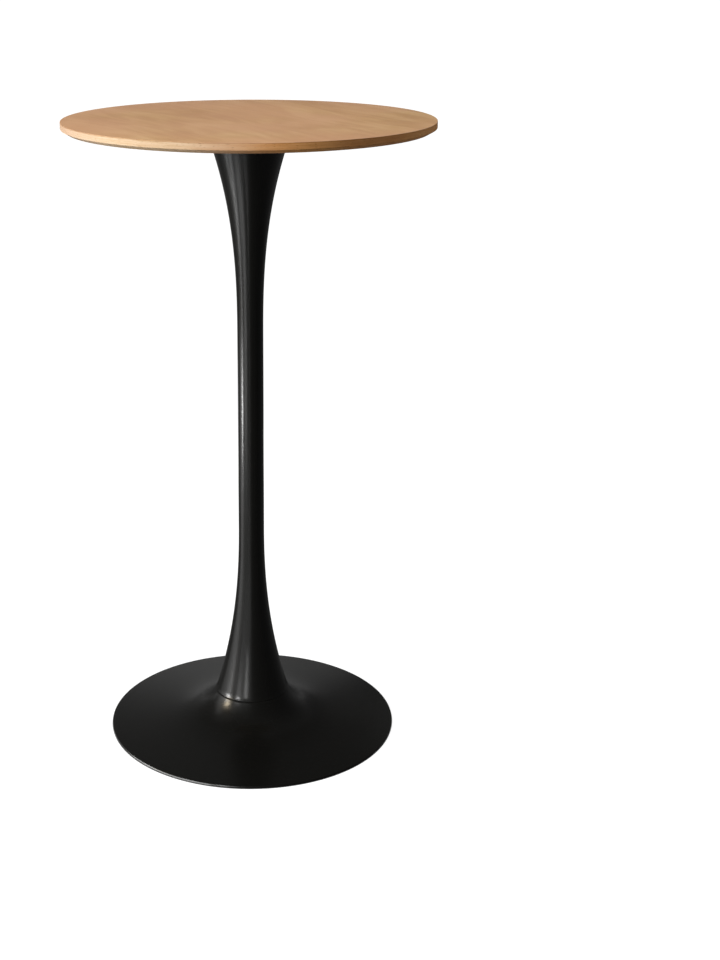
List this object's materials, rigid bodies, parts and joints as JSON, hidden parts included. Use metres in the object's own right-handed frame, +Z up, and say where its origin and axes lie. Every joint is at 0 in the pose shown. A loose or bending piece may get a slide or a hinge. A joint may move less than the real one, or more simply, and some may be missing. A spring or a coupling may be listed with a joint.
{
  "type": "bar table",
  "caption": "Tall round bar table: a thin veneered wooden top with an undercut edge on a slender black steel stem that flares at both ends into a wide, low trumpet-shaped base.",
  "frame": {"origin": "centre of the base at floor level", "axes": "+Z up along the stem; the table is round about Z, so X and Y only place the screws, the first of which lies 30 degrees from +X"},
  "size_m": [0.5999, 0.6, 1.05],
  "materials": {
    "oak_face": "satin lacquered oak veneer",
    "oak_edge": "satin lacquered solid oak",
    "oak_backing": "plain sealed veneer",
    "core_board": "raw pressed board",
    "black_lacquer": "semi-gloss black lacquer",
    "black_plate": "fine matt black powder coat",
    "zinc_steel": "bright zinc plating",
    "bare_steel": "turned steel",
    "cast_grey": "rough casting, oiled",
    "nylon_ring": "natural nylon",
    "black_plastic": "fine texture",
    "black_rubber": "matt"
  },
  "bodies": {
    "root": {"face_veneer": "oak_face", "core_panel": "core_board", "edge_lipping": "oak_edge", "backing_veneer": "oak_backing", "threaded_inserts": "zinc_steel", "mounting_plate": "black_plate", "plate_washers": "zinc_steel", "plate_screws": "zinc_steel", "rod_boss": "bare_steel", "head_ring": "nylon_ring", "upper_flare": "black_lacquer", "waist_tube": "black_lacquer", "lower_flare": "black_lacquer", "tie_rod": "zinc_steel", "foot_ring": "nylon_ring", "base_shell": "black_lacquer", "cast_weight": "cast_grey", "flat_washer": "zinc_steel", "spring_washer": "bare_steel", "clamp_nut": "zinc_steel", "bottom_cover": "black_plate", "cover_plug": "black_plastic", "cover_screws": "zinc_steel", "floor_trim": "black_rubber"}
  },
  "joints": []
}
